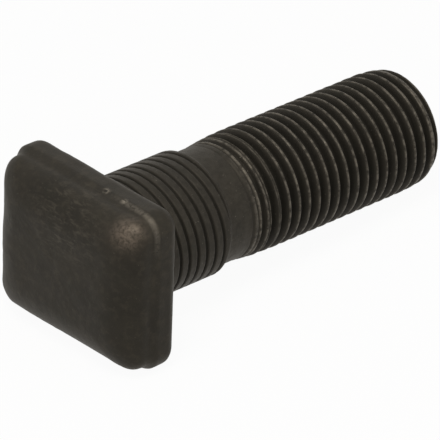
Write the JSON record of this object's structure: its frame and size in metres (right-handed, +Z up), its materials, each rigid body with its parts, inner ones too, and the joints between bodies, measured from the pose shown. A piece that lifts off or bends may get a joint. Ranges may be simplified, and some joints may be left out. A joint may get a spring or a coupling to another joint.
{
  "type": "wheel bolt",
  "caption": "Wheel bolt with a rectangular two-tier forged head, helical press-fit ribs, a plain collar and a coarse thread with a chamfered tip, lying on its side.",
  "frame": {"origin": "on the floor, under the middle of the bolt as it lies", "axes": "+Z up; the bolt lies along X with its tip toward +X, hanging a few degrees; the head's long side is along Y"},
  "size_m": [0.082, 0.0366, 0.0304],
  "materials": {
    "phosphated_steel": "dark phosphate coating, satin, rubbed bright on one corner of the head"
  },
  "bodies": {
    "root": {"wheel_bolt": "phosphated_steel"}
  },
  "joints": []
}
